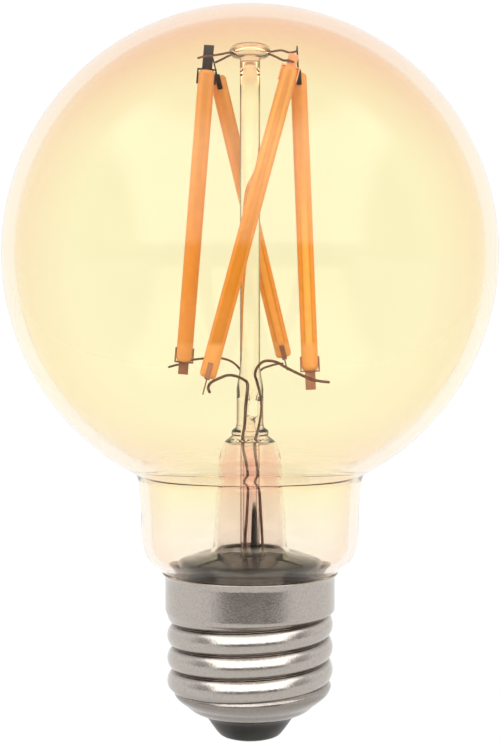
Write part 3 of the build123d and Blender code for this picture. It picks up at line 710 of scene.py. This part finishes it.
# ------------------------------------------------------------------ wires
wire_list = {
    "lead_left": (LEAD_R, "lead_wire", "lead_wire_left", [
        (-1.9, -3.0, 18.2), (-0.9, -2.6, 30.0), (-0.3, -2.25, 41.0), (-1.1, -1.95, 46.6),
        (-0.75, -1.6, 50.0), (-0.55, -1.3, 53.0), (-0.3, -1.2, 56.2), (-1.0, -2.0, 57.1),
        (-2.25, -4.0, 57.75), (-3.45, -6.2, 57.95), (-4.66, -8.3, 57.6), (-5.9, -9.1, 57.0),
        (-6.35, -9.15, 56.2), (-6.1, -9.1, 55.4)]),
    "lead_right": (LEAD_R, "lead_wire", "lead_wire_right", [
        (2.6, -3.0, 18.2), (2.0, -2.6, 30.0), (1.35, -2.25, 41.0), (0.7, -2.0, 46.6),
        (1.4, -1.6, 50.0), (1.72, -1.3, 53.0), (1.03, -1.2, 56.4), (0.8, -1.9, 57.9),
        (1.12, -2.2, 59.0), (1.97, -2.5, 59.9), (3.01, -2.8, 60.1), (4.26, -3.2, 59.85),
        (5.5, -3.6, 59.15), (7.6, -4.1, 58.1), (9.5, -4.35, 57.3), (11.0, -4.4, 56.95),
        (12.4, -4.4, 56.8)]),
    "arm_left": (SUPPORT_R, "support_wire", "lead_arm_left", [
        (-0.8, 1.3, 54.0), (-0.95, 1.35, 57.0), (-1.7, 1.6, 58.7), (-3.1, 2.0, 59.9),
        (-5.3, 2.4, 60.45), (-7.4, 2.9, 60.3), (-9.5, 3.3, 60.0), (-10.9, 3.35, 59.4),
        (-12.0, 3.35, 59.2), (-13.2, 3.35, 58.85)]),
    "arm_right": (SUPPORT_R, "support_wire", "lead_arm_right", [
        (0.9, 1.3, 54.0), (1.0, 1.35, 57.0), (1.79, 1.9, 58.5), (3.2, 3.8, 59.05), (4.6, 6.4, 59.3),
        (5.4, 7.8, 59.3)]),
    "support_left": (SUPPORT_R, "support_wire", "top_support_left", [
        (-8.26, -2.0, 107.6), (-7.4, -2.0, 107.85), (-6.6, -1.98, 107.95), (-4.9, -1.2, 108.35),
        (-3.2, -0.6, 108.8), (-1.5, -0.3, 109.0), (-0.8, 0.0, 109.05), (-1.5, 0.4, 109.0),
        (-3.2, 0.7, 108.6), (-4.4, 1.15, 108.1), (-5.6, 1.5, 107.6)]),
    "support_right": (SUPPORT_R, "support_wire", "top_support_right", [
        (7.6, 1.3, 109.5), (6.4, 1.2, 109.2), (5.0, 0.9, 109.5), (3.4, 0.6, 109.2), (1.9, 0.4, 109.05),
        (0.8, 0.0, 109.0), (1.7, -0.35, 108.9), (3.45, -0.6, 108.4), (5.17, -1.9, 107.3),
        (6.0, -2.7, 107.1), (6.9, -2.95, 106.8)]),
}
for name, (radius, slot_name, cad, points) in wire_list.items():
    piece(wire(name + "_wire", points, radius), WIRE, slot_name, cad)

# ------------------------------------------------------------------ CAD nodes that stay
kept = {
    "cap_cement": CEMENT, "contact_solder": SOLDER, "insulating_plug": PLUG, "driver_sleeve": SLEEVE,
    "driver_board": BOARD, "electrolytic_capacitor": CAN, "bridge_rectifier": EPOXY, "inductor": FERRITE,
    "driver_ic": EPOXY, "wireless_module": MODULE, "module_shield": SHIELD, "fuse_resistor": RESISTOR,
    "live_wire": HOOKUP, "neutral_wire": HOOKUP,
}
for number in FILAMENTS:
    kept[f"filament_{number}_strip"] = STRIP
    kept[f"filament_{number}_chips"] = CHIP
    kept[f"filament_{number}_top_tab"] = TAB_BRIGHT if number == 3 else TAB
    kept[f"filament_{number}_bottom_tab"] = TAB_BROWN
for name, material in kept.items():
    dress(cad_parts[name], material)


# ------------------------------------------------------------------ studio
BACK_LEVEL, FRONT_LEVEL, SOFT_BOX_LIFT, SHADE_DROP = 1.03, 0.50, 2.3, 0.26
# Soft edges of the light, as parts of a unit direction: 0 at the first number, 1 at the second.
SWEEP_EDGE, FRONT_EDGE = (-0.35, 0.2), (0.1, -0.15)
BOX_SIDE, BOX_LOW, BOX_HIGH = (0.84, 0.70), (0.02, 0.10), (0.92, 0.75)
SHADE_SIDE, SHADE_LOW, SHADE_HIGH = (0.85, 0.60), (-0.36, -0.26), (0.04, 0.0)
# In metres. The lamp hangs free above the floor.
FLOOR_Z, FLOOR_HALF = -0.12, 4.0
CARD_SIZE, CARD_AT = (1.44, 0.17), (0.03, -0.55, -0.034)
CAMERA_AT, CAMERA_AIM = (0, -0.237, 0.06565), (0, 0, 0.05815)
SENSOR_MM, LENS_MM = 36.0, 72.06


def flat_card(name, width, height):
    """Upright card, seen edge-on from above, facing +Y."""
    corners = [(-0.5, -0.5), (0.5, -0.5), (0.5, 0.5), (-0.5, 0.5)]
    mesh = bpy.data.meshes.new(name)
    mesh.from_pydata([(x * width, 0, z * height) for x, z in corners], [], [(0, 1, 2, 3)])
    return mesh


def build_studio():
    floor_mesh = bpy.data.meshes.new("floor")
    bm = bmesh.new()
    bmesh.ops.create_grid(bm, x_segments=8, y_segments=8, size=FLOOR_HALF)
    bm.to_mesh(floor_mesh)
    bm.free()
    floor = new_object("floor", floor_mesh)
    floor.location.z = FLOOR_Z
    dress(floor, FLOOR)

    card = new_object("flag_card", flat_card("flag_card", *CARD_SIZE))
    card.location = CARD_AT
    dress(card, FLAG)
    build_world()


def build_world():
    """White sweep behind; in front a dim studio, a broad soft box and a darker low band."""
    world = bpy.data.worlds.new("studio")
    scene.world = world
    world.use_nodes = True
    nodes, links = world.node_tree.nodes, world.node_tree.links
    nodes["Background"].inputs["Color"].default_value = (1.0, 1.0, 1.0, 1.0)
    split = nodes.new("ShaderNodeSeparateXYZ")
    links.new(nodes.new("ShaderNodeTexCoord").outputs["Generated"], split.inputs[0])
    across = maths(nodes, links, "ABSOLUTE", split.outputs["X"])
    ahead, up = split.outputs["Y"], split.outputs["Z"]
    level = fit_value(nodes, links, ahead, *SWEEP_EDGE, FRONT_LEVEL, BACK_LEVEL)
    front = fit_value(nodes, links, ahead, *FRONT_EDGE)
    soft_box = multiply(nodes, links, fit_value(nodes, links, across, *BOX_SIDE), front)
    soft_box = multiply(nodes, links, soft_box, fit_value(nodes, links, up, *BOX_LOW))
    soft_box = multiply(nodes, links, soft_box, fit_value(nodes, links, up, *BOX_HIGH))
    shade = multiply(nodes, links, fit_value(nodes, links, across, *SHADE_SIDE), front)
    shade = multiply(nodes, links, shade, fit_value(nodes, links, up, *SHADE_LOW))
    shade = multiply(nodes, links, shade, fit_value(nodes, links, up, *SHADE_HIGH))
    lit = maths(nodes, links, "MULTIPLY_ADD", soft_box, SOFT_BOX_LIFT, level)
    total = maths(nodes, links, "MULTIPLY_ADD", shade, -SHADE_DROP, lit)
    links.new(total, nodes["Background"].inputs["Strength"])


def build_camera():
    cam = bpy.data.cameras.new("camera")
    cam.sensor_fit = "VERTICAL"
    cam.sensor_height = SENSOR_MM
    cam.lens = LENS_MM
    cam.clip_start = 0.01
    obj = new_object("camera", cam)
    obj.location = CAMERA_AT
    aim = Vector(CAMERA_AIM) - obj.location
    obj.rotation_euler = aim.to_track_quat("-Z", "Y").to_euler()
    scene.camera = obj


build_studio()
build_camera()
scene.view_settings.view_transform = "Standard"
scene.cycles.max_bounces = 32
scene.cycles.transmission_bounces = 32
scene.cycles.transparent_max_bounces = 32
scene.cycles.glossy_bounces = 8
scene.cycles.sample_clamp_indirect = 4.0
